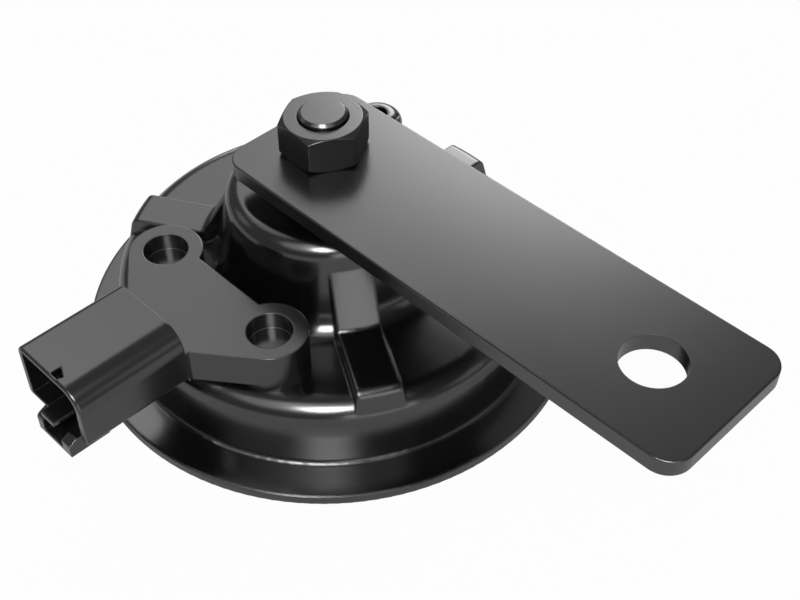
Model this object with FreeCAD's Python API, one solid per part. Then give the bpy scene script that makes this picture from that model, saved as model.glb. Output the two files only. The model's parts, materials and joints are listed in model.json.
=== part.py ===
import FreeCAD, Part
import math
import os

# Disc horn for a car: pressed housing, diaphragm with tone disc and armature,
# coil with make-and-break contacts, two-pin plug housing, and a steel arm
# on the stud. Millimetres. The origin lies on the horn's axis in the plane
# of the rim's front edge. +Z points to the back, where the stud stands,
# +X along the mounting arm, and the plug housing points along -Y.

# Housing
sheet = 0.8
rim_radius = 44.0
rim_height = 2.0
rim_edge_round = 0.25
hem_thickness = 0.6
hem_width = 3.4
flange_width = 6.38
flange_rise = 0.43
wall_draft = 1.4
wall_foot_round = 0.7
shoulder_height = 15.0
shoulder_round = 3.8
tower_foot_radius = 19.8
tower_top_radius = 16.8
tower_height = 31.0
tower_foot_round = 4.5
tower_top_round = 3.2

rib_angles = [90.0, 210.0, 330.0]
rib_height = 17.2
rib_half_width = 3.65
rib_side_draft = 8.0
rib_crease_radius = 22.6
rib_gusset_angle = 61.5
rib_crease_round = 1.0
rib_end_inset = 1.3
rib_end_draft = 12.0
rib_end_round = 1.7
rib_edge_round = 0.3

# Stud, arm and nuts
stud_radius = 4.0
stud_end_height = 45.2
stud_chamfer = 0.45
stud_hole_clearance = 0.25
nut_flats = 13.0
lock_nut_height = 3.9
arm_thickness = 3.0
nut_height = 6.4
nut_chamfer_radius = 6.4
nut_chamfer_angle = 30.0
nut_bore_chamfer = 0.3
nut_turn = 59.0
lock_nut_turn = 30.0
arm_back_end = -10.0
arm_front_end = 80.5
arm_width = 27.1
arm_corner_radius = 4.0
arm_edge_round = 0.3
arm_hole_radius = 5.0
arm_hole_x = 66.9
arm_seat_inset = 2.0

# Adjusting boss
boss_angle = 120.0
boss_inset = 6.7
boss_radius = 4.8
boss_height = 23.0
boss_edge_round = 2.2
adjuster_radius = 2.0
adjuster_clearance = 0.05
adjuster_recess = 3.6
adjuster_slot_width = 0.7
adjuster_slot_depth = 1.0
stake_width = 0.35
stake_length = 2.2
stake_depth = 0.9
stake_reach = 3.9
stake_turn = 34.0

# Plug housing
plate_top = 22.6
plate_gap = 1.3
plate_length = 15.2
plate_inner_reach = 2.6
lug_x = 13.3
lug_inset = 12.5
lug_radius = 6.2
lug_recess_radius = 3.75
lug_recess_depth = 3.2
neck_length = 0.7
socket_length = 19.1
socket_half_width = 8.0
socket_top = 27.2
socket_bottom = 16.5
socket_outer_round = 4.2
socket_far_round = 1.5
socket_small_round = 1.0
socket_mouth_round = 0.5
socket_side_wall = 1.2
socket_top_wall = 0.7
socket_floor_wall = 0.8
socket_near_wall_top = 1.2
socket_near_wall_foot = 1.7
socket_back_wall = 2.8
latch_half_width = 4.3
latch_bottom = 12.2
latch_reach = 1.5
latch_length = 7.1
latch_far_wall = 1.5
latch_near_wall = 2.1
latch_back_wall = 1.2
latch_floor = 0.6
latch_side_height = 3.0
latch_side_drop = 0.3
latch_round = 1.0
latch_slot_length = 2.3
latch_near_height = 2.4
latch_near_rise = 0.8
tongue_half_width = 1.65
tongue_top = 18.3
tongue_thickness = 0.8
tongue_reach = 1.8
notch_left = 0.6
notch_right = 2.66
notch_setback = 0.4
notch_length = 2.0
notch_slant = 1.04
notch_taper = 0.4

# Blades, seal and screws
blade_width = 2.8
blade_thickness = 0.8
blade_x = 3.5
blade_height = 21.2
blade_setback = 4.2
blade_leg_inset = 4.7
blade_foot = 10.5
window_half_width = 5.8
window_half_length = 2.0
seal_width = 1.5
cover_screw_radius = 1.5
cover_screw_head_radius = 2.8
cover_screw_head_height = 1.8
cover_screw_length = 4.4
cover_screw_clearance = 0.1

# Diaphragm and what it carries
gasket_thickness = 0.25
diaphragm_thickness = 0.35
diaphragm_clearance = 0.1
diaphragm_wall_clearance = 0.9
diaphragm_cup_run = 2.0
diaphragm_cup_height = 4.8
diaphragm_bend = 1.2
gasket_wall_gap = 0.45
tone_disc_margin = 1.9
tone_disc_thickness = 1.2
tone_disc_seat_radius = 8.0
tone_disc_drop_radius = 12.0
tone_disc_drop = 1.6
tone_disc_bend = 1.0
spigot_radius = 3.0
spigot_clearance = 0.1
armature_radius = 5.8
armature_flange_radius = 8.5
air_gap = 0.8
front_nut_flats = 10.0
front_nut_height = 2.0
front_nut_bore_chamfer = 0.3
spigot_proud = 0.4
washer_radius = 9.5
washer_thickness = 0.6
collar_radius = 8.8
collar_thickness = 0.8
collar_gap = 0.3

# Coil
yoke_thickness = 1.2
yoke_screw_reach = 3.15
yoke_bore_clearance = 0.6
yoke_screw_clearance = 0.5
bobbin_flange = 0.9
bobbin_wall = 0.7
bobbin_bore_clearance = 0.4
bobbin_radius = 13.0
winding_radius = 12.2
pole_radius = 6.1
pole_length = 9.0
coil_wire_radius = 0.4
coil_wire_clearance = 0.4
lead_return_turn = 30.0
lead_clearance = 0.05

# Contacts
stack_radius = 20.4
insulator_radius = 3.4
insulator_thickness = 0.6
spacer_thickness = 1.5
contact_arm_thickness = 0.8
contact_arm_half_width = 3.2
contact_arm_inner = 12.0
contact_arm_reach = 2.6
contact_radius_at = 14.2
contact_point_radius = 1.4
leaf_thickness = 0.3
leaf_half_width = 2.6
leaf_inner = 7.6
leaf_outer = 24.6
stack_washer_radius = 3.0
stack_washer_thickness = 0.6
stack_rivet_radius = 1.1
stack_rivet_head_radius = 2.2
stack_rivet_head_height = 0.6
breaker_wire_radius = 0.5

# Places that follow from the sizes above
wall_lean = math.radians(wall_draft)
wall_foot_radius = rim_radius - flange_width
wall_top_radius = wall_foot_radius - (shoulder_height - rim_height) * math.tan(wall_lean)
hem_inner_radius = rim_radius - hem_width
rib_end_radius = wall_top_radius - rib_end_inset
boss_axis_radius = wall_top_radius - boss_inset
lug_y = lug_inset - wall_top_radius
plate_inner_y = lug_y + plate_inner_reach
plate_outer_y = plate_inner_y - plate_length
socket_neck_y = plate_outer_y + neck_length
socket_mouth_y = plate_outer_y - socket_length
latch_front_y = socket_mouth_y - latch_reach
latch_back_y = latch_front_y + latch_length
tongue_tip_y = socket_mouth_y - tongue_reach
notch_front_y = socket_mouth_y + notch_setback
notch_back_y = notch_front_y + notch_length
blade_tip_y = socket_mouth_y + blade_setback
blade_leg_y = lug_y - blade_leg_inset
yoke_radius = math.hypot(lug_x, lug_y) - yoke_screw_reach
seat_of_yoke = shoulder_height - sheet
yoke_bottom = seat_of_yoke - yoke_thickness
tower_ceiling = tower_height - sheet
arm_bottom = tower_height + lock_nut_height
arm_top = arm_bottom + arm_thickness
plate_bottom = shoulder_height + plate_gap
diaphragm_top = diaphragm_cup_height + diaphragm_thickness
armature_foot = diaphragm_top + washer_thickness
pole_foot = tower_ceiling - pole_length
armature_top = pole_foot - air_gap
tower_lean = math.atan((tower_foot_radius - tower_top_radius) / (tower_height - shoulder_height))

parts = {}


def fillet_arc(before, corner, after, radius):
    # Return the two tangent points and the middle point of a rounded corner.
    a = (FreeCAD.Vector(before) - FreeCAD.Vector(corner)).normalize()
    b = (FreeCAD.Vector(after) - FreeCAD.Vector(corner)).normalize()
    half_angle = a.getAngle(b) / 2.0
    reach = radius / math.tan(half_angle)
    centre_way = (a + b).normalize()
    centre = FreeCAD.Vector(corner) + centre_way * (radius / math.sin(half_angle))
    start = FreeCAD.Vector(corner) + a * reach
    end = FreeCAD.Vector(corner) + b * reach
    middle = centre - centre_way * radius
    return start, middle, end


def rounded_wire(corners, to_space):
    # Make a closed wire from (u, v, rounding radius) corners.
    points = [to_space(u, v) for u, v, radius in corners]
    count = len(points)
    stretches = []
    for i in range(count):
        radius = corners[i][2]
        if radius > 0:
            stretches.append(fillet_arc(points[i - 1], points[i], points[(i + 1) % count], radius))
        else:
            stretches.append((points[i], None, points[i]))
    edges = []
    for i in range(count):
        start, middle, end = stretches[i]
        if middle is not None:
            edges.append(Part.Arc(start, middle, end).toShape())
        next_start = stretches[(i + 1) % count][0]
        if end.distanceToPoint(next_start) > 1e-6:
            edges.append(Part.LineSegment(end, next_start).toShape())
    return Part.Wire(edges)


def in_xz(u, v):
    return FreeCAD.Vector(u, 0, v)


def turned(corners):
    # Revolve a closed (radius, height, rounding) outline round the axis.
    face = Part.Face(rounded_wire(corners, in_xz))
    return face.revolve(FreeCAD.Vector(0, 0, 0), FreeCAD.Vector(0, 0, 1), 360)


def slab(corners, bottom, height):
    # Raise an (x, y, rounding) outline from bottom by height.
    wire = rounded_wire(corners, lambda u, v: FreeCAD.Vector(u, v, bottom))
    return Part.Face(wire).extrude(FreeCAD.Vector(0, 0, height))


def rod(radius, bottom, height, x=0.0, y=0.0):
    return Part.makeCylinder(radius, height, FreeCAD.Vector(x, y, bottom))


def ring(outer, inner, bottom, height, x=0.0, y=0.0):
    return rod(outer, bottom, height, x, y).cut(rod(inner, bottom - 1, height + 2, x, y))


def block(x0, x1, y0, y1, z0, z1):
    return Part.makeBox(x1 - x0, y1 - y0, z1 - z0, FreeCAD.Vector(x0, y0, z0))


def turned_to(shape, angle):
    copy = shape.copy()
    copy.rotate(FreeCAD.Vector(0, 0, 0), FreeCAD.Vector(0, 0, 1), angle)
    return copy


def middle_of(edge):
    return edge.valueAt((edge.FirstParameter + edge.LastParameter) / 2)


def hexagon_nut(flats, bottom, height, bore, chamfer_radius, chamfer_angle, turn, bore_chamfer):
    # A hexagon prism with chamfered ends, and a plain bore that widens at both mouths.
    corner = flats / math.sqrt(3)
    points = []
    for i in range(7):
        angle = math.radians(60 * i + turn)
        points.append(FreeCAD.Vector(corner * math.cos(angle), corner * math.sin(angle), bottom))
    prism = Part.Face(Part.makePolygon(points)).extrude(FreeCAD.Vector(0, 0, height))
    drop = (corner + 1 - chamfer_radius) * math.tan(math.radians(chamfer_angle))
    lathe = turned([
        (0, bottom, 0),
        (chamfer_radius, bottom, 0),
        (corner + 1, bottom + drop, 0),
        (corner + 1, bottom + height - drop, 0),
        (chamfer_radius, bottom + height, 0),
        (0, bottom + height, 0),
    ])
    top = bottom + height
    mouth = bore + bore_chamfer
    hole = turned([
        (0, bottom, 0),
        (mouth, bottom, 0),
        (bore, bottom + bore_chamfer, 0),
        (bore, top - bore_chamfer, 0),
        (mouth, top, 0),
        (0, top, 0),
    ])
    return prism.common(lathe).cut(hole)


# Housing: outer skin, inner skin, beads and boss
def wall_radius(height):
    return wall_foot_radius - (height - rim_height) * math.tan(wall_lean)


def tower_radius(height):
    return tower_foot_radius - (height - shoulder_height) * math.tan(tower_lean)


tower_skin = sheet / math.cos(tower_lean)
wall_skin = sheet / math.cos(wall_lean)
flange_foot = rim_height + flange_rise
pocket_radius = rim_radius - sheet
pocket_top = rim_height - sheet

outer_skin = turned([
    (0, 0, 0),
    (rim_radius, 0, rim_edge_round),
    (rim_radius, rim_height, rim_edge_round),
    (wall_radius(flange_foot), flange_foot, wall_foot_round),
    (wall_radius(shoulder_height), shoulder_height, shoulder_round),
    (tower_foot_radius, shoulder_height, tower_foot_round),
    (tower_top_radius, tower_height, tower_top_round),
    (0, tower_height, 0),
])
inner_skin = turned([
    (0, -1, 0),
    (hem_inner_radius, -1, 0),
    (hem_inner_radius, hem_thickness, 0),
    (pocket_radius, hem_thickness, 0),
    (pocket_radius, pocket_top, 0),
    (wall_radius(pocket_top) - wall_skin, pocket_top, 0),
    (wall_radius(seat_of_yoke) - wall_skin, seat_of_yoke, shoulder_round - sheet),
    (tower_radius(seat_of_yoke) - tower_skin, seat_of_yoke, tower_foot_round + sheet),
    (tower_radius(tower_ceiling) - tower_skin, tower_ceiling, tower_top_round - sheet),
    (0, tower_ceiling, 0),
])


def gusset_meets_tower(crease, top, slope, inset):
    # Height at which the steep end of a rib runs into the tower's wall.
    wall = tower_foot_radius - inset / math.cos(tower_lean)
    lean = math.tan(tower_lean)
    return (crease + top / slope - wall - shoulder_height * lean) / (1 / slope - lean)


def bead(inset):
    # One radial rib: its side outline turned about the axis, cut to its width with leaning sides.
    lean = math.tan(math.radians(rib_end_draft))
    slope = math.tan(math.radians(rib_gusset_angle))
    top = rib_height - inset
    crease = rib_crease_radius - inset * math.tan(math.radians(rib_gusset_angle / 2))
    end = rib_end_radius - inset * (1 - lean)
    foot = shoulder_height - shoulder_round - inset
    core = tower_top_radius - tower_top_round - 1
    meet = gusset_meets_tower(crease, top, slope, inset)
    side = rounded_wire([
        (core, foot, 0),
        (end + (top - foot) * lean, foot, 0),
        (end, top, rib_end_round - inset),
        (crease, top, rib_crease_round + inset),
        (crease - (meet - top) / slope, meet, 0),
        (core, meet, 0),
    ], in_xz)
    bar = Part.Face(side).revolve(FreeCAD.Vector(0, 0, 0), FreeCAD.Vector(0, 0, 1), 60)
    bar.rotate(FreeCAD.Vector(0, 0, 0), FreeCAD.Vector(0, 0, 1), -30)
    side_lean = math.tan(math.radians(rib_side_draft))
    half = rib_half_width - inset
    high = tower_height
    section = rounded_wire([
        (-half - (top - foot) * side_lean, foot, 0),
        (half + (top - foot) * side_lean, foot, 0),
        (half, top, 0),
        (half, high, 0),
        (-half, high, 0),
        (-half, top, 0),
    ], lambda u, v: FreeCAD.Vector(0, u, v))
    across = Part.Face(section).extrude(FreeCAD.Vector(rim_radius, 0, 0))
    return bar.common(across).Solids[0]


def rounded_bead():
    # The outer rib with its long edges and its end softened.
    rib = bead(0.0)
    inward = rib_crease_radius + rib_crease_round
    chosen = []
    for edge in rib.Edges:
        middle = middle_of(edge)
        on_side = abs(middle.y) > rib_half_width - 0.1
        if on_side and middle.x > inward and middle.z > shoulder_height - shoulder_round:
            chosen.append(edge)
    return rib.makeFillet(rib_edge_round, chosen)


boss_x = boss_axis_radius * math.cos(math.radians(boss_angle))
boss_y = boss_axis_radius * math.sin(math.radians(boss_angle))
boss_solid = rod(boss_radius, seat_of_yoke, boss_height - seat_of_yoke, boss_x, boss_y)
boss_rim = [e for e in boss_solid.Edges if e.BoundBox.ZMin > boss_height - 0.01]
boss_solid = boss_solid.makeFillet(boss_edge_round, boss_rim)
stake = block(stake_reach - stake_width / 2, stake_reach + stake_width / 2,
              -stake_length / 2, stake_length / 2, boss_height - stake_depth, boss_height + 1)
stake = turned_to(stake, stake_turn)
stake.translate(FreeCAD.Vector(boss_x, boss_y, 0))
boss_solid = boss_solid.cut(stake)
adjuster_hole = adjuster_radius + adjuster_clearance

outer_body = outer_skin
inner_body = inner_skin
for angle in rib_angles:
    outer_body = outer_body.fuse(turned_to(rounded_bead(), angle))
    inner_body = inner_body.fuse(turned_to(bead(sheet), angle))
outer_body = outer_body.fuse(boss_solid)
outer_body = outer_body.removeSplitter()

housing = outer_body.cut(inner_body)
housing = housing.cut(rod(stud_radius + stud_hole_clearance, tower_ceiling - 1, sheet + 2))
housing = housing.cut(rod(adjuster_hole, seat_of_yoke - 1, boss_height, boss_x, boss_y))
window = block(-window_half_width, window_half_width, blade_leg_y - window_half_length,
               blade_leg_y + window_half_length, seat_of_yoke - 1, plate_bottom + 1)
housing = housing.cut(window)
for side in (-1, 1):
    hole = rod(cover_screw_radius + cover_screw_clearance, seat_of_yoke - 1, sheet + 2, side * lug_x, lug_y)
    housing = housing.cut(hole)
parts["housing"] = housing

# Clamped in the rim
diaphragm_seat = hem_thickness
gasket_seat = diaphragm_seat + diaphragm_thickness
sheet_edge = pocket_radius - diaphragm_clearance
wall_inside = wall_radius(pocket_top) - wall_skin
parts["rim_gasket"] = ring(sheet_edge, wall_inside + gasket_wall_gap, gasket_seat, gasket_thickness)

cup_foot = wall_inside - diaphragm_wall_clearance
cup_radius = cup_foot - diaphragm_cup_run
tone_disc_radius = cup_radius - tone_disc_margin
bore = spigot_radius + spigot_clearance
parts["diaphragm"] = turned([
    (bore, diaphragm_cup_height, 0),
    (cup_radius, diaphragm_cup_height, diaphragm_bend),
    (cup_foot, diaphragm_seat, diaphragm_bend),
    (sheet_edge, diaphragm_seat, 0),
    (sheet_edge, gasket_seat, 0),
    (cup_foot + diaphragm_thickness * 0.4, gasket_seat, diaphragm_bend - diaphragm_thickness),
    (cup_radius + diaphragm_thickness * 0.6, diaphragm_top, diaphragm_bend + diaphragm_thickness),
    (bore, diaphragm_top, 0),
])

# Carried by the diaphragm
disc_top = diaphragm_cup_height
disc_bottom = disc_top - tone_disc_thickness
parts["tone_disc"] = turned([
    (bore, disc_bottom, 0),
    (tone_disc_seat_radius, disc_bottom, tone_disc_bend),
    (tone_disc_drop_radius, disc_bottom - tone_disc_drop, tone_disc_bend),
    (tone_disc_radius, disc_bottom - tone_disc_drop, 0.4),
    (tone_disc_radius, disc_top - tone_disc_drop, 0.4),
    (tone_disc_drop_radius, disc_top - tone_disc_drop, tone_disc_bend),
    (tone_disc_seat_radius, disc_top, tone_disc_bend),
    (bore, disc_top, 0),
])
parts["tone_disc_nut"] = hexagon_nut(front_nut_flats, disc_bottom - front_nut_height, front_nut_height,
                                     spigot_radius, front_nut_flats / 2 - 0.1, nut_chamfer_angle, 0,
                                     front_nut_bore_chamfer)
parts["diaphragm_washer"] = ring(washer_radius, bore, diaphragm_top, washer_thickness)

leaf_bottom = yoke_bottom - insulator_thickness - contact_arm_thickness - spacer_thickness - leaf_thickness
collar_top = leaf_bottom - collar_gap
collar_bottom = collar_top - collar_thickness
parts["armature"] = turned([
    (0, disc_bottom - front_nut_height - spigot_proud, 0),
    (spigot_radius - 0.4, disc_bottom - front_nut_height - spigot_proud, 0),
    (spigot_radius, disc_bottom - front_nut_height, 0),
    (spigot_radius, armature_foot, 0),
    (armature_flange_radius, armature_foot, 0),
    (armature_flange_radius, collar_bottom, 0),
    (armature_radius, collar_bottom, 0),
    (armature_radius, armature_top, 0.5),
    (0, armature_top, 0),
])
parts["armature_collar"] = ring(collar_radius, armature_radius, collar_bottom, collar_thickness)

# Coil in the tower
bobbin_bore = armature_radius + bobbin_bore_clearance
bobbin_foot = seat_of_yoke
winding_bottom = bobbin_foot + bobbin_flange
winding_top = tower_ceiling - bobbin_flange
hub = bobbin_bore + bobbin_wall
parts["bobbin"] = turned([
    (bobbin_bore, bobbin_foot, 0),
    (bobbin_radius, bobbin_foot, 0),
    (bobbin_radius, winding_bottom, 0),
    (hub, winding_bottom, 0),
    (hub, winding_top, 0),
    (bobbin_radius, winding_top, 0),
    (bobbin_radius, tower_ceiling, 0),
    (bobbin_bore, tower_ceiling, 0),
])
parts["winding"] = ring(winding_radius, hub, winding_bottom, winding_top - winding_bottom)
parts["pole_core"] = turned([
    (0, pole_foot, 0),
    (pole_radius, pole_foot, 0.4),
    (pole_radius, tower_ceiling, 0),
    (stud_radius, tower_ceiling, 0),
    (stud_radius, stud_end_height - stud_chamfer, 0),
    (stud_radius - stud_chamfer, stud_end_height, 0),
    (0, stud_end_height, 0),
])

yoke = ring(yoke_radius, armature_radius + yoke_bore_clearance, yoke_bottom, yoke_thickness)
lead_y = -(bobbin_radius + coil_wire_radius + coil_wire_clearance)
lead_hole = coil_wire_radius + coil_wire_clearance
stack_x = stack_radius * math.cos(math.radians(boss_angle))
stack_y = stack_radius * math.sin(math.radians(boss_angle))
return_angle = boss_angle + lead_return_turn
return_x = -lead_y * math.cos(math.radians(return_angle))
return_y = -lead_y * math.sin(math.radians(return_angle))
yoke = yoke.cut(rod(lead_hole, yoke_bottom - 1, yoke_thickness + 2, blade_x, lead_y))
yoke = yoke.cut(rod(lead_hole, yoke_bottom - 1, yoke_thickness + 2, return_x, return_y))
yoke = yoke.cut(rod(stack_rivet_radius, yoke_bottom - 1, yoke_thickness + 2, stack_x, stack_y))
for side in (-1, 1):
    notch_radius = cover_screw_head_radius + yoke_screw_clearance
    yoke = yoke.cut(rod(notch_radius, yoke_bottom - 1, yoke_thickness + 2, side * lug_x, lug_y))
screw_hole = rod(adjuster_radius + yoke_screw_clearance, yoke_bottom - 1, yoke_thickness + 2, boss_x, boss_y)
yoke = yoke.cut(screw_hole)
parts["yoke_plate"] = yoke

# Contacts under the yoke plate
# They lie along the boss's radius: u runs outward from the axis.
arm_z = yoke_bottom - insulator_thickness - contact_arm_thickness
spacer_z = arm_z - spacer_thickness
washer_z = leaf_bottom - stack_washer_thickness
rivet_hole = rod(stack_rivet_radius, washer_z, seat_of_yoke - washer_z, stack_radius)


def strip(inner, outer, half_width, bottom, thickness, end_round):
    return slab([
        (inner, -half_width, end_round),
        (outer, -half_width, end_round),
        (outer, half_width, end_round),
        (inner, half_width, end_round),
    ], bottom, thickness)


insulator = ring(insulator_radius, stack_rivet_radius, yoke_bottom - insulator_thickness,
                 insulator_thickness, stack_radius)
spacer = ring(insulator_radius, stack_rivet_radius, spacer_z, spacer_thickness, stack_radius)
parts["breaker_insulators"] = turned_to(Part.makeCompound([insulator, spacer]), boss_angle)

contact_arm = strip(contact_arm_inner, boss_axis_radius + contact_arm_reach, contact_arm_half_width, arm_z,
                    contact_arm_thickness, 1.5).cut(rivet_hole)
parts["fixed_contact_arm"] = turned_to(contact_arm, boss_angle)

point_height = spacer_thickness / 2
fixed_point = rod(contact_point_radius, arm_z - point_height, point_height, contact_radius_at)
moving_point = rod(contact_point_radius, spacer_z, point_height, contact_radius_at)
parts["fixed_contact_point"] = turned_to(fixed_point, boss_angle)
parts["moving_contact_point"] = turned_to(moving_point, boss_angle)

leaf = strip(leaf_inner, leaf_outer, leaf_half_width, leaf_bottom, leaf_thickness, 1.0).cut(rivet_hole)
parts["contact_spring"] = turned_to(leaf, boss_angle)
stack_washer = ring(stack_washer_radius, stack_rivet_radius, washer_z, stack_washer_thickness, stack_radius)
parts["breaker_washer"] = turned_to(stack_washer, boss_angle)

rivet_top = seat_of_yoke
stack_rivet = rod(stack_rivet_radius, washer_z, rivet_top - washer_z, stack_radius)
rivet_head = turned([
    (0, washer_z - stack_rivet_head_height, 0),
    (stack_rivet_head_radius, washer_z - stack_rivet_head_height, 0.3),
    (stack_rivet_head_radius, washer_z, 0),
    (0, washer_z, 0),
])
rivet_head.translate(FreeCAD.Vector(stack_radius, 0, 0))
parts["breaker_rivet"] = turned_to(stack_rivet.fuse(rivet_head).removeSplitter(), boss_angle)

# Adjusting screw
adjuster_foot = arm_z + contact_arm_thickness
adjuster_top = boss_height - adjuster_recess
adjuster = rod(adjuster_radius, adjuster_foot, adjuster_top - adjuster_foot, boss_x, boss_y)
slot = block(-adjuster_radius - 1, adjuster_radius + 1, -adjuster_slot_width / 2, adjuster_slot_width / 2,
             adjuster_top - adjuster_slot_depth, adjuster_top + 1)
slot.translate(FreeCAD.Vector(boss_x, boss_y, 0))
parts["adjusting_screw"] = adjuster.cut(slot)

# Plug housing
def tangent_corner(side):
    # Where a line from the socket's neck touches the lug's round.
    away_x = socket_half_width - lug_x
    away_y = socket_neck_y - lug_y
    distance = math.hypot(away_x, away_y)
    bearing = math.atan2(away_y, away_x)
    opening = math.acos(lug_radius / distance)
    angle = bearing + opening
    return side * (lug_x + lug_radius * math.cos(angle)), lug_y + lug_radius * math.sin(angle)


left_touch = tangent_corner(-1)
right_touch = tangent_corner(1)
lug_reach = math.sqrt(lug_radius ** 2 - (plate_inner_y - lug_y) ** 2)
plate_height = plate_top - plate_bottom
plate = slab([
    (-lug_x, lug_y, 0),
    (-lug_x + lug_reach, plate_inner_y, 0),
    (lug_x - lug_reach, plate_inner_y, 0),
    (lug_x, lug_y, 0),
    (right_touch[0], right_touch[1], 0),
    (socket_half_width, socket_neck_y, 0),
    (socket_half_width, plate_outer_y, 0),
    (-socket_half_width, plate_outer_y, 0),
    (-socket_half_width, socket_neck_y, 0),
    (left_touch[0], left_touch[1], 0),
], plate_bottom, plate_height)
cover = plate
for side in (-1, 1):
    lug = rod(lug_radius, shoulder_height, plate_top - shoulder_height, side * lug_x, lug_y)
    cover = cover.fuse(lug)


def along_y(corners, start, end):
    # Push an (x, z, rounding) outline from y = start to y = end.
    wire = rounded_wire(corners, lambda u, v: FreeCAD.Vector(u, start, v))
    return Part.Face(wire).extrude(FreeCAD.Vector(0, end - start, 0))


socket_outside = along_y([
    (-socket_half_width, socket_bottom, socket_small_round),
    (socket_half_width, socket_bottom, socket_small_round),
    (socket_half_width, socket_top, socket_outer_round),
    (-socket_half_width, socket_top, socket_far_round),
], plate_outer_y, socket_mouth_y)
mouth_edges = [e for e in socket_outside.Edges if e.BoundBox.YMax < socket_mouth_y + 0.01]
socket_outside = socket_outside.makeFillet(socket_mouth_round, mouth_edges)
latch_outside = Part.Face(rounded_wire([
    (latch_back_y, latch_bottom, 0),
    (latch_back_y, socket_bottom + socket_floor_wall, 0),
    (socket_mouth_y + socket_mouth_round, socket_bottom + socket_floor_wall, 0),
    (socket_mouth_y + socket_mouth_round, socket_bottom - latch_side_drop, 0),
    (latch_front_y, latch_bottom + latch_side_height, latch_round),
    (latch_front_y, latch_bottom, 0),
], lambda u, v: FreeCAD.Vector(-latch_half_width, u, v))).extrude(FreeCAD.Vector(2 * latch_half_width, 0, 0))
cover = cover.fuse(socket_outside).fuse(latch_outside)

cavity_floor = socket_bottom + socket_floor_wall
cavity_back_y = plate_outer_y - socket_back_wall
cavity_top = socket_top - socket_top_wall
cavity = along_y([
    (-socket_half_width + socket_side_wall, cavity_floor, 0),
    (socket_half_width - socket_near_wall_foot, cavity_floor, 0),
    (socket_half_width - socket_near_wall_top, cavity_top, socket_outer_round - socket_side_wall),
    (-socket_half_width + socket_side_wall, cavity_top, 0),
], cavity_back_y, socket_mouth_y - 5)
channel = block(latch_far_wall - latch_half_width, latch_half_width - latch_near_wall, latch_front_y - 1,
                latch_back_y - latch_back_wall, latch_bottom + latch_floor, cavity_floor + 1)
latch_near_top = latch_bottom + latch_near_height
latch_slot = Part.Face(Part.makePolygon([FreeCAD.Vector(0, y, z) for y, z in [
    (latch_front_y - 1, latch_near_top),
    (latch_front_y, latch_near_top),
    (socket_mouth_y, latch_near_top + latch_near_rise),
    (socket_mouth_y + latch_slot_length, latch_near_top + latch_near_rise),
    (socket_mouth_y + latch_slot_length, cavity_floor + 1),
    (latch_front_y - 1, cavity_floor + 1),
    (latch_front_y - 1, latch_near_top),
]])).extrude(FreeCAD.Vector(socket_half_width - socket_near_wall_foot, 0, 0))
cover = cover.cut(cavity).cut(channel).cut(latch_slot)
tongue = block(-tongue_half_width, tongue_half_width, tongue_tip_y, cavity_back_y,
               tongue_top - tongue_thickness, tongue_top)
cover = cover.fuse(tongue)
notch = slab([
    (notch_left, notch_front_y, 0),
    (notch_right - notch_taper, notch_front_y, 0),
    (notch_right, notch_back_y - notch_slant, 0),
    (notch_left, notch_back_y, 0),
], socket_top - 2 * socket_top_wall, 2 * socket_top_wall + 1)
cover = cover.cut(notch)

blade_top = blade_height + blade_thickness
blade_leg_outer = blade_leg_y - blade_thickness / 2
blade_leg_inner = blade_leg_y + blade_thickness / 2


def terminal(x):
    side = rounded_wire([
        (blade_tip_y, blade_height, blade_thickness * 0.3),
        (blade_leg_outer, blade_height, 0),
        (blade_leg_outer, blade_foot, 0),
        (blade_leg_inner, blade_foot, 0),
        (blade_leg_inner, blade_top, blade_thickness * 0.8),
        (blade_tip_y, blade_top, blade_thickness * 0.3),
    ], lambda u, v: FreeCAD.Vector(x - blade_width / 2, u, v))
    return Part.Face(side).extrude(FreeCAD.Vector(blade_width, 0, 0))


left_blade = terminal(-blade_x)
right_blade = terminal(blade_x)
cover = cover.cut(left_blade).cut(right_blade).cut(outer_skin)
pilot_top = seat_of_yoke + cover_screw_length
for side in (-1, 1):
    recess = rod(lug_recess_radius, plate_top - lug_recess_depth, lug_recess_depth + 1, side * lug_x, lug_y)
    pilot = rod(cover_screw_radius, shoulder_height - 1, pilot_top - shoulder_height + 1, side * lug_x, lug_y)
    cover = cover.cut(recess).cut(pilot)
parts["connector_cover"] = cover.removeSplitter()
parts["terminal_left"] = left_blade
parts["terminal_right"] = right_blade

seal_outline = [
    (-window_half_width - seal_width, blade_leg_y - window_half_length - seal_width, 1.5),
    (window_half_width + seal_width, blade_leg_y - window_half_length - seal_width, 1.5),
    (window_half_width + seal_width, blade_leg_y + window_half_length + seal_width, 1.5),
    (-window_half_width - seal_width, blade_leg_y + window_half_length + seal_width, 1.5),
]
parts["connector_seal"] = slab(seal_outline, shoulder_height, plate_gap).cut(window).cut(outer_skin)

screws = []
for side in (-1, 1):
    head_z = seat_of_yoke - cover_screw_head_height
    shank = rod(cover_screw_radius, seat_of_yoke, cover_screw_length, side * lug_x, lug_y)
    head = rod(cover_screw_head_radius, head_z, cover_screw_head_height, side * lug_x, lug_y)
    screws.append(shank.fuse(head).removeSplitter())
parts["cover_screws"] = Part.makeCompound(screws)


# Leads
def wire_along(points, radius, bend):
    # A round wire along straight runs joined by tangent arcs.
    vectors = [FreeCAD.Vector(p) for p in points]
    edges = []
    here = vectors[0]
    for i in range(1, len(vectors) - 1):
        start, middle, end = fillet_arc(vectors[i - 1], vectors[i], vectors[i + 1], bend)
        edges.append(Part.LineSegment(here, start).toShape())
        edges.append(Part.Arc(start, middle, end).toShape())
        here = end
    edges.append(Part.LineSegment(here, vectors[-1]).toShape())
    path = Part.Wire(edges)
    way = (vectors[1] - vectors[0]).normalize()
    section = Part.Wire(Part.makeCircle(radius, vectors[0], way))
    return path.makePipeShell([section], True, False)


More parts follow.
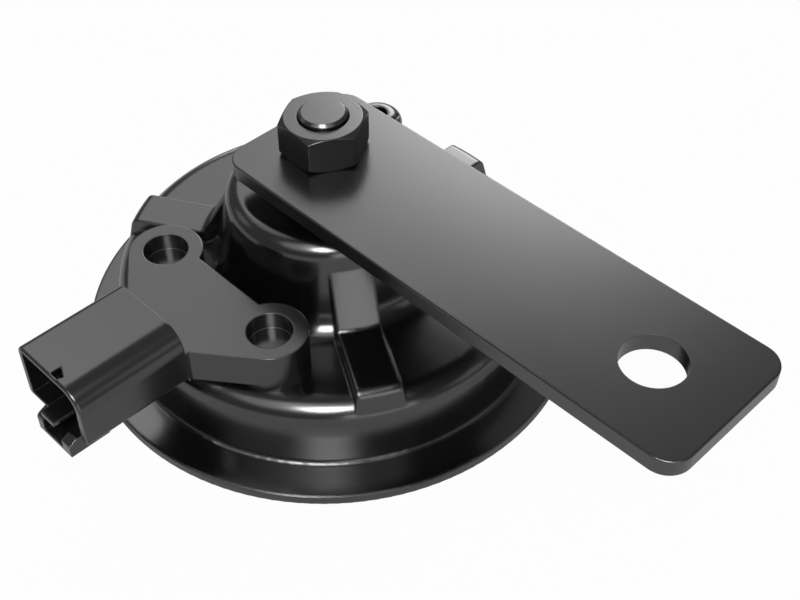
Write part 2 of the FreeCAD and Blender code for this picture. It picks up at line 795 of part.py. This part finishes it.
lead_z = blade_foot + 1.0
feed_z = winding_bottom + 2.0
feed = wire_along([
    (blade_x, blade_leg_inner, lead_z),
    (blade_x, lead_y, lead_z),
    (blade_x, lead_y, feed_z),
    (blade_x * 0.85, -winding_radius * 0.97, feed_z),
], coil_wire_radius, 0.9)
return_bearing = math.radians(lead_return_turn)
back = wire_along([
    (winding_radius * math.cos(return_bearing), winding_radius * math.sin(return_bearing), feed_z),
    (-lead_y * math.cos(return_bearing), -lead_y * math.sin(return_bearing), feed_z),
    (-lead_y * math.cos(return_bearing), -lead_y * math.sin(return_bearing), leaf_bottom - coil_wire_radius),
    (-lead_y * math.cos(return_bearing), leaf_half_width / 2, leaf_bottom - coil_wire_radius),
], coil_wire_radius, 0.9)
parts["coil_leads"] = Part.makeCompound([feed, turned_to(back, boss_angle)])

# The feed to the fixed contact follows the wall on a plain arc.
route_radius = math.hypot(blade_x + blade_width / 2, breaker_wire_radius - blade_leg_outer) + lead_clearance
route_start = math.degrees(math.atan2(blade_leg_outer - breaker_wire_radius, -blade_x)) % 360
breaker_wire_z = arm_z - breaker_wire_radius
loop = Part.makeTorus(route_radius, breaker_wire_radius, FreeCAD.Vector(0, 0, breaker_wire_z),
                      FreeCAD.Vector(0, 0, 1), 0, 360, route_start - boss_angle)
parts["breaker_lead"] = turned_to(loop, boss_angle)

parts["lock_nut"] = hexagon_nut(nut_flats, tower_height, lock_nut_height, stud_radius, nut_chamfer_radius,
                                nut_chamfer_angle, lock_nut_turn, nut_bore_chamfer)
parts["mounting_nut"] = hexagon_nut(nut_flats, arm_top, nut_height, stud_radius, nut_chamfer_radius,
                                    nut_chamfer_angle, nut_turn, nut_bore_chamfer)

# Mounting arm
half_width = arm_width / 2
arm = slab([
    (arm_back_end, -half_width, arm_corner_radius),
    (arm_front_end, -half_width, arm_corner_radius),
    (arm_front_end, half_width, arm_corner_radius),
    (arm_back_end, half_width, arm_corner_radius),
], arm_bottom, arm_thickness)
arm_rims = [e for e in arm.Edges if e.BoundBox.ZLength < 0.01]
arm = arm.makeFillet(arm_edge_round, arm_rims)
arm = arm.cut(rod(stud_radius + stud_hole_clearance, arm_bottom - 1, arm_thickness + 2))
arm = arm.cut(rod(arm_hole_radius, arm_bottom - 1, arm_thickness + 2, arm_hole_x, 0))

# The arm beyond the rim is what a car's panel lies against, so its faces end there.
seat_start = rim_radius + arm_seat_inset
panel_side = block(seat_start, arm_front_end + 1, -arm_width, arm_width, arm_bottom - 1, arm_top + 1)
parts["mounting_arm"] = arm.cut(panel_side).fuse(arm.common(panel_side))

os.makedirs("parts", exist_ok=True)
for name in parts:
    parts[name].exportStep("parts/" + name + ".step")
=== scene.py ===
import json
import math

import bpy
from mathutils import Matrix, Vector

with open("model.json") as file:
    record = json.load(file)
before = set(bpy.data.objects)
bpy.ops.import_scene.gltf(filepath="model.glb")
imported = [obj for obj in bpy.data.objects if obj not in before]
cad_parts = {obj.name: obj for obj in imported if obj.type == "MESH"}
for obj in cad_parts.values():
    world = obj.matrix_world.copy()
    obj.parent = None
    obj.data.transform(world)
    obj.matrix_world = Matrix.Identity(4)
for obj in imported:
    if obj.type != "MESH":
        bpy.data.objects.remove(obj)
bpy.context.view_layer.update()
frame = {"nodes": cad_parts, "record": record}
mm = 0.001
plainWhite = (1, 1, 1, 1)

# Camera

photoCamera = {
    "place": (125.52, -107.79, 166.97),  # millimetres, in the part's frame
    "lookAlong": (-0.50135, 0.50029, -0.70594),
    "focalPixels": 1268.8,
    "imageWidth": 800,
    "sensorWidth": 36.0,
    "clipStart": 0.005,
}


def makeCamera(look):
    camera = bpy.data.cameras.new("photoCamera")
    camera.sensor_width = look["sensorWidth"]
    camera.lens = look["focalPixels"] / look["imageWidth"] * look["sensorWidth"]
    camera.clip_start = look["clipStart"]
    holder = bpy.data.objects.new("photoCamera", camera)
    bpy.context.collection.objects.link(holder)
    turn = Vector(look["lookAlong"]).to_track_quat("-Z", "Y").to_matrix().to_4x4()
    holder.matrix_world = Matrix.Translation(Vector(look["place"]) * mm) @ turn
    bpy.context.scene.camera = holder


makeCamera(photoCamera)
print("camera placed")

# Studio: floor, world and soft lamps

studio = {
    # lengths in metres, the shares say how much of plain white each kind of ray sees
    "floorSize": 6.0,
    "floorGap": 0.0002,
    "floorColor": (0.57, 0.57, 0.57, 1),
    "floorWhiteToCamera": 0.97,  # the rest keeps the shadow
    "floorWhiteToGloss": 0.1,
    "floorWhiteThroughGlass": 0.1,
    "worldColor": plainWhite,
    "worldStrength": 0.1,
    "worldWhiteToCamera": 1.0,
    "worldWhiteToGloss": 0.1,
    "worldWhiteThroughGlass": 1.0,
    "whiteStrength": 1.0,
    "lampAim": (0.01, 0.0, 0.02),
    "lampDistance": 1.3,
}
lamps = {
    # azimuth and elevation in degrees from +X, size in metres, glow as plain brightness
    "backLeftLow": {"azimuth": 125, "elevation": 28, "size": 0.6, "glow": 5.2},
    "backLeftHigh": {"azimuth": 156, "elevation": 44, "size": 0.7, "glow": 1.05},
    "backLeftFloor": {"azimuth": 144, "elevation": 8, "size": 0.45, "glow": 2.0},
    "leftLow": {"azimuth": -150, "elevation": 26, "size": 0.45, "glow": 0.5},
    "frontRightLow": {"azimuth": -22, "elevation": 9, "size": 0.8, "glow": 1.5},
    "rightLow": {"azimuth": 25, "elevation": 20, "size": 0.5, "glow": 0.4},
    "overLeft": {"azimuth": 180, "elevation": 58, "size": 0.7, "glow": 0.7},
    "overRight": {"azimuth": 0, "elevation": 58, "size": 0.6, "glow": 0.8},
    "overFront": {"azimuth": -60, "elevation": 68, "size": 0.5, "glow": 1.2},
    "frontBroad": {"azimuth": -78, "elevation": 50, "size": 0.8, "glow": 1.0},
    "frontKey": {"azimuth": -47, "elevation": 48, "size": 0.5, "glow": 18.0},
}


def addMath(nodes, links, operation, first, second):
    node = nodes.new("ShaderNodeMath")
    node.operation = operation
    for socket, value in zip(node.inputs, (first, second)):
        if isinstance(value, (int, float)):
            socket.default_value = value
        else:
            links.new(value, socket)
    return node.outputs[0]


def addRayShares(nodes, links, toCamera, toGloss, throughGlass):
    rays = nodes.new("ShaderNodeLightPath")
    camera = addMath(nodes, links, "MULTIPLY", rays.outputs["Is Camera Ray"], toCamera)
    gloss = addMath(nodes, links, "MULTIPLY", rays.outputs["Is Glossy Ray"], toGloss)
    glass = addMath(nodes, links, "MULTIPLY", rays.outputs["Is Transmission Ray"], throughGlass)
    return addMath(nodes, links, "MAXIMUM", camera, addMath(nodes, links, "MAXIMUM", gloss, glass))


def makeFloor(look):
    bpy.ops.mesh.primitive_plane_add(size=look["floorSize"], location=(0, 0, -look["floorGap"]))
    floor = bpy.context.object
    floor.name = "studioFloor"
    material = bpy.data.materials.new("paleFloor")
    material.use_nodes = True
    nodes = material.node_tree.nodes
    links = material.node_tree.links
    nodes.clear()
    output = nodes.new("ShaderNodeOutputMaterial")
    matt = nodes.new("ShaderNodeBsdfDiffuse")
    matt.inputs["Color"].default_value = look["floorColor"]
    glow = nodes.new("ShaderNodeEmission")
    glow.inputs["Color"].default_value = plainWhite
    glow.inputs["Strength"].default_value = look["whiteStrength"]
    seen = addRayShares(nodes, links, look["floorWhiteToCamera"], look["floorWhiteToGloss"],
                        look["floorWhiteThroughGlass"])
    mix = nodes.new("ShaderNodeMixShader")
    links.new(seen, mix.inputs["Fac"])
    links.new(matt.outputs[0], mix.inputs[1])
    links.new(glow.outputs[0], mix.inputs[2])
    # seen from below, the floor is clear
    clear = nodes.new("ShaderNodeBsdfTransparent")
    side = nodes.new("ShaderNodeNewGeometry")
    sides = nodes.new("ShaderNodeMixShader")
    links.new(side.outputs["Backfacing"], sides.inputs["Fac"])
    links.new(mix.outputs[0], sides.inputs[1])
    links.new(clear.outputs[0], sides.inputs[2])
    links.new(sides.outputs[0], output.inputs["Surface"])
    floor.data.materials.append(material)


def makeWorld(look):
    world = bpy.data.worlds.new("softRoom")
    bpy.context.scene.world = world
    world.use_nodes = True
    nodes = world.node_tree.nodes
    links = world.node_tree.links
    background = nodes["Background"]
    background.inputs["Color"].default_value = look["worldColor"]
    seen = addRayShares(nodes, links, look["worldWhiteToCamera"], look["worldWhiteToGloss"],
                        look["worldWhiteThroughGlass"])
    strength = nodes.new("ShaderNodeMix")
    strength.inputs["A"].default_value = look["worldStrength"]
    strength.inputs["B"].default_value = look["whiteStrength"]
    links.new(seen, strength.inputs["Factor"])
    links.new(strength.outputs["Result"], background.inputs["Strength"])


def makeLamps(looks, aim, distance):
    for name, look in looks.items():
        light = bpy.data.lights.new(name, "AREA")
        light.shape = "DISK"
        light.size = look["size"]
        # the power that gives a disc of this size the brightness asked for
        light.energy = look["glow"] * math.pi * math.pi * (look["size"] / 2) ** 2
        lamp = bpy.data.objects.new(name, light)
        bpy.context.collection.objects.link(lamp)
        azimuth = math.radians(look["azimuth"])
        elevation = math.radians(look["elevation"])
        way = Vector((math.cos(elevation) * math.cos(azimuth),
                      math.cos(elevation) * math.sin(azimuth), math.sin(elevation)))
        turn = (-way).to_track_quat("-Z", "Y").to_matrix().to_4x4()
        lamp.matrix_world = Matrix.Translation(Vector(aim) + way * distance) @ turn


bpy.ops.object.select_all(action="DESELECT")
makeFloor(studio)
makeWorld(studio)
makeLamps(lamps, studio["lampAim"], studio["lampDistance"])
bpy.context.scene.view_settings.view_transform = "Standard"
print("studio lit")

# Shared effects

effects = {
    "driftDetail": 2.0,
    "grainDetail": 3.0,
    "bevelSamples": 6,
    "markScale": 1.0,
    "markDetail": 4.0,
    "noiseMiddle": 0.5,
    "bumpStrength": 1.0,
}


# each material sets every input of a group, so the groups hold no values of their own
def startGroup(name, inputs, outputs):
    group = bpy.data.node_groups.new(name, "ShaderNodeTree")
    for label, kind in inputs:
        group.interface.new_socket(name=label, in_out="INPUT", socket_type=kind)
    for label, kind in outputs:
        group.interface.new_socket(name=label, in_out="OUTPUT", socket_type=kind)
    nodes = group.nodes
    return group, nodes, group.links, nodes.new("NodeGroupInput"), nodes.new("NodeGroupOutput")


def addNoise(nodes, links, place, scale, detail):
    noise = nodes.new("ShaderNodeTexNoise")
    noise.inputs["Detail"].default_value = detail
    links.new(place, noise.inputs["Vector"])
    links.new(scale, noise.inputs["Scale"])
    return noise.outputs["Fac"]


# the roughness asked for, plus a noise round zero times the drift asked for
def addDriftingRoughness(nodes, links, given, made, noise, middle):
    centred = addMath(nodes, links, "SUBTRACT", noise, middle)
    spread = addMath(nodes, links, "MULTIPLY", centred, given.outputs["Drift"])
    rough = addMath(nodes, links, "ADD", given.outputs["Roughness"], spread)
    links.new(rough, made.inputs["Roughness"])


def addBlend(nodes, links, given, made, factor, second):
    blend = nodes.new("ShaderNodeMix")
    blend.data_type = "RGBA"
    links.new(factor, blend.inputs["Factor"])
    links.new(given.outputs["Color"], blend.inputs["A"])
    links.new(given.outputs[second], blend.inputs["B"])
    links.new(blend.outputs["Result"], made.inputs["Color"])


# grain of a coat or a moulding: fine relief, a slow drift of gloss, softened edges, and paler edges
# that are partly wear and partly a painted highlight
def makeSurfaceGrain(look):
    group, nodes, links, given, made = startGroup("surfaceGrain", [
        ("Color", "NodeSocketColor"),
        ("Edge Highlight And Wear Color", "NodeSocketColor"),
        ("Edge Highlight And Wear", "NodeSocketFloat"),
        ("Edge Round", "NodeSocketFloat"),
        ("Roughness", "NodeSocketFloat"),
        ("Drift", "NodeSocketFloat"),
        ("Drift Scale", "NodeSocketFloat"),
        ("Grain Scale", "NodeSocketFloat"),
    ], [
        ("Color", "NodeSocketColor"),
        ("Roughness", "NodeSocketFloat"),
        ("Height", "NodeSocketFloat"),
        ("Normal", "NodeSocketVector"),
    ])
    place = nodes.new("ShaderNodeTexCoord").outputs["Object"]
    slow = addNoise(nodes, links, place, given.outputs["Drift Scale"], look["driftDetail"])
    fine = addNoise(nodes, links, place, given.outputs["Grain Scale"], look["grainDetail"])
    addDriftingRoughness(nodes, links, given, made, slow, look["noiseMiddle"])
    links.new(fine, made.inputs["Height"])
    rounded = nodes.new("ShaderNodeBevel")
    rounded.samples = look["bevelSamples"]
    links.new(given.outputs["Edge Round"], rounded.inputs["Radius"])
    links.new(rounded.outputs["Normal"], made.inputs["Normal"])
    # an edge is where the rounded normal turns away from the plain one
    facing = nodes.new("ShaderNodeVectorMath")
    facing.operation = "DOT_PRODUCT"
    links.new(rounded.outputs["Normal"], facing.inputs[0])
    links.new(nodes.new("ShaderNodeNewGeometry").outputs["Normal"], facing.inputs[1])
    # the edges are blended towards the paler edge colour: partly wear, partly a painted highlight
    # along the rims
    away = addMath(nodes, links, "SUBTRACT", 1.0, facing.outputs["Value"])
    edge = addMath(nodes, links, "MULTIPLY", away, given.outputs["Edge Highlight And Wear"])
    litAndWornEdge = addMath(nodes, links, "MULTIPLY", edge, slow)
    addBlend(nodes, links, given, made, addMath(nodes, links, "MINIMUM", litAndWornEdge, 1.0), "Edge Highlight And Wear Color")
    return group


# fine ring marks of turned, rolled or wound metal, round the part's axis
def makeToolMarks(look):
    group, nodes, links, given, made = startGroup("toolMarks", [
        ("Color", "NodeSocketColor"),
        ("Mark Color", "NodeSocketColor"),
        ("Roughness", "NodeSocketFloat"),
        ("Drift", "NodeSocketFloat"),
        ("Ring Scale", "NodeSocketFloat"),
        ("Height Scale", "NodeSocketFloat"),
    ], [
        ("Color", "NodeSocketColor"),
        ("Roughness", "NodeSocketFloat"),
        ("Height", "NodeSocketFloat"),
    ])
    parts = nodes.new("ShaderNodeSeparateXYZ")
    links.new(nodes.new("ShaderNodeTexCoord").outputs["Object"], parts.inputs[0])
    across = addMath(nodes, links, "MULTIPLY", parts.outputs["X"], parts.outputs["X"])
    along = addMath(nodes, links, "MULTIPLY", parts.outputs["Y"], parts.outputs["Y"])
    radius = addMath(nodes, links, "SQRT", addMath(nodes, links, "ADD", across, along), 0.0)
    ring = addMath(nodes, links, "MULTIPLY", radius, given.outputs["Ring Scale"])
    height = addMath(nodes, links, "MULTIPLY", parts.outputs["Z"], given.outputs["Height Scale"])
    rings = nodes.new("ShaderNodeCombineXYZ")
    links.new(ring, rings.inputs["X"])
    links.new(height, rings.inputs["Z"])
    marks = nodes.new("ShaderNodeTexNoise")
    marks.inputs["Scale"].default_value = look["markScale"]
    marks.inputs["Detail"].default_value = look["markDetail"]
    links.new(rings.outputs[0], marks.inputs["Vector"])
    addDriftingRoughness(nodes, links, given, made, marks.outputs["Fac"], look["noiseMiddle"])
    links.new(marks.outputs["Fac"], made.inputs["Height"])
    addBlend(nodes, links, given, made, marks.outputs["Fac"], "Mark Color")
    return group


surfaceGrain = makeSurfaceGrain(effects)
toolMarks = makeToolMarks(effects)
print("shared effects built")

# Finishes

coatFinishes = {
    # edgeRound and relief, the depth of the grain, in metres; the paler edge colours are partly
    # wear and partly a painted highlight
    "blackBodyCoat": {
        "color": (0.0025, 0.0025, 0.0028, 1), "edgeHighlightAndWearColor": (0.02, 0.02, 0.021, 1), "edgeHighlightAndWear": 0.3,
        "edgeRound": 0.0007, "roughness": 0.19, "ior": 1.92, "drift": 0.03, "driftScale": 70,
        "grainScale": 2200, "relief": 0.000002,
    },
    "blackArmCoat": {
        "color": (0.0025, 0.0025, 0.0028, 1), "edgeHighlightAndWearColor": (0.02, 0.02, 0.021, 1), "edgeHighlightAndWear": 0.2,
        "edgeRound": 0.0001, "roughness": 0.25, "ior": 1.98, "drift": 0.03, "driftScale": 50,
        "grainScale": 1800, "relief": 0.000002,
    },
    "blackFastenerCoat": {
        "color": (0.0025, 0.0025, 0.0028, 1), "edgeHighlightAndWearColor": (0.03, 0.03, 0.031, 1), "edgeHighlightAndWear": 0.3,
        "edgeRound": 0.00015, "roughness": 0.23, "ior": 2.0, "drift": 0.04, "driftScale": 120,
        "grainScale": 2600, "relief": 0.000002,
    },
    "blackDiscCoat": {
        "color": (0.005, 0.005, 0.0055, 1), "edgeHighlightAndWearColor": (0.03, 0.03, 0.031, 1), "edgeHighlightAndWear": 0.6,
        "edgeRound": 0.0003, "roughness": 0.23, "ior": 1.8, "drift": 0.05, "driftScale": 60,
        "grainScale": 1800, "relief": 0.000003,
    },
    # the moulding's strong pale edge colour is mostly a painted highlight along its rims
    "blackMoulding": {
        "color": (0.005, 0.005, 0.0053, 1), "edgeHighlightAndWearColor": (0.09, 0.09, 0.09, 1), "edgeHighlightAndWear": 2.5,
        "edgeRound": 0.0003, "roughness": 0.22, "ior": 1.87, "drift": 0.03, "driftScale": 90,
        "grainScale": 3200, "relief": 0.000004,
    },
    "sealRubber": {
        "color": (0.012, 0.012, 0.012, 1), "edgeHighlightAndWearColor": (0.02, 0.02, 0.02, 1), "edgeHighlightAndWear": 0.3,
        "edgeRound": 0.0002, "roughness": 0.62, "ior": 1.5, "drift": 0.1, "driftScale": 150,
        "grainScale": 3000, "relief": 0.00001,
    },
    "pressedFibre": {
        "color": (0.22, 0.12, 0.06, 1), "edgeHighlightAndWearColor": (0.32, 0.2, 0.11, 1), "edgeHighlightAndWear": 0.8,
        "edgeRound": 0.0001, "roughness": 0.7, "ior": 1.5, "drift": 0.15, "driftScale": 400,
        "grainScale": 2500, "relief": 0.00002,
    },
    "paleNylon": {
        "color": (0.7, 0.68, 0.6, 1), "edgeHighlightAndWearColor": (0.78, 0.76, 0.7, 1), "edgeHighlightAndWear": 0.4,
        "edgeRound": 0.0002, "roughness": 0.42, "ior": 1.5, "drift": 0.08, "driftScale": 120,
        "grainScale": 2500, "relief": 0.000004,
    },
}
metalFinishes = {
    "springSteel": {
        "color": (0.42, 0.42, 0.43, 1), "markColor": (0.3, 0.3, 0.31, 1), "roughness": 0.32,
        "drift": 0.2, "ringScale": 3000, "heightScale": 300, "relief": 0.000002,
    },
    "zincPlate": {
        "color": (0.58, 0.58, 0.56, 1), "markColor": (0.45, 0.45, 0.44, 1), "roughness": 0.3,
        "drift": 0.2, "ringScale": 2500, "heightScale": 900, "relief": 0.000003,
    },
    "softIron": {
        "color": (0.36, 0.36, 0.37, 1), "markColor": (0.25, 0.25, 0.26, 1), "roughness": 0.38,
        "drift": 0.2, "ringScale": 5000, "heightScale": 2500, "relief": 0.000005,
    },
    "copperWire": {
        "color": (0.55, 0.2, 0.08, 1), "markColor": (0.3, 0.09, 0.035, 1), "roughness": 0.28,
        "drift": 0.1, "ringScale": 300, "heightScale": 9000, "relief": 0.00004,
    },
    "contactMetal": {
        "color": (0.72, 0.7, 0.66, 1), "markColor": (0.55, 0.54, 0.5, 1), "roughness": 0.22,
        "drift": 0.15, "ringScale": 4000, "heightScale": 1500, "relief": 0.000002,
    },
    "springBronze": {
        "color": (0.62, 0.4, 0.18, 1), "markColor": (0.5, 0.3, 0.13, 1), "roughness": 0.3,
        "drift": 0.15, "ringScale": 1800, "heightScale": 600, "relief": 0.000002,
    },
    "tinnedBrass": {
        "color": (0.64, 0.61, 0.55, 1), "markColor": (0.5, 0.47, 0.41, 1), "roughness": 0.24,
        "drift": 0.15, "ringScale": 1500, "heightScale": 1500, "relief": 0.000002,
    },
}
finishOfSlot = {
    "painted_steel_body": "blackBodyCoat",
    "painted_steel_arm": "blackArmCoat",
    "painted_fastener": "blackFastenerCoat",
    "painted_steel_disc": "blackDiscCoat",
    "black_plastic": "blackMoulding",
    "seal_rubber": "sealRubber",
    "fibre": "pressedFibre",
    "nylon": "paleNylon",
    "spring_steel": "springSteel",
    "plated_steel": "zincPlate",
    "soft_iron": "softIron",
    "enamelled_copper": "copperWire",
    "contact_metal": "contactMetal",
    "spring_bronze": "springBronze",
    "tinned_brass": "tinnedBrass",
}
coatInputs = {
    "Color": "color", "Edge Highlight And Wear Color": "edgeHighlightAndWearColor", "Edge Highlight And Wear": "edgeHighlightAndWear", "Edge Round": "edgeRound",
    "Roughness": "roughness", "Drift": "drift", "Drift Scale": "driftScale",
    "Grain Scale": "grainScale",
}
metalInputs = {
    "Color": "color", "Mark Color": "markColor", "Roughness": "roughness", "Drift": "drift",
    "Ring Scale": "ringScale", "Height Scale": "heightScale",
}


def startFinish(name, group, look, inputs):
    material = bpy.data.materials.new(name)
    material.use_nodes = True
    nodes = material.node_tree.nodes
    links = material.node_tree.links
    surface = nodes["Principled BSDF"]
    effect = nodes.new("ShaderNodeGroup")
    effect.node_tree = group
    for label, key in inputs.items():
        effect.inputs[label].default_value = look[key]
    bump = nodes.new("ShaderNodeBump")
    bump.inputs["Strength"].default_value = effects["bumpStrength"]
    bump.inputs["Distance"].default_value = look["relief"]
    links.new(effect.outputs["Color"], surface.inputs["Base Color"])
    links.new(effect.outputs["Roughness"], surface.inputs["Roughness"])
    links.new(effect.outputs["Height"], bump.inputs["Height"])
    links.new(bump.outputs["Normal"], surface.inputs["Normal"])
    return material, links, surface, effect, bump


def makeCoat(name, look):
    material, links, surface, effect, bump = startFinish(name, surfaceGrain, look, coatInputs)
    surface.inputs["IOR"].default_value = look["ior"]
    links.new(effect.outputs["Normal"], bump.inputs["Normal"])
    return material


def makeMetal(name, look):
    material, links, surface, effect, bump = startFinish(name, toolMarks, look, metalInputs)
    surface.inputs["Metallic"].default_value = 1.0
    return material


materials = {name: makeCoat(name, look) for name, look in coatFinishes.items()}
materials.update({name: makeMetal(name, look) for name, look in metalFinishes.items()})
slotOfNode = {row["node"]: row["material_slot"] for row in frame["record"]["subparts"]}
for nodeName, holder in frame["nodes"].items():
    for slot in holder.material_slots:
        slot.material = materials[finishOfSlot[slotOfNode[nodeName]]]
print("finishes given")
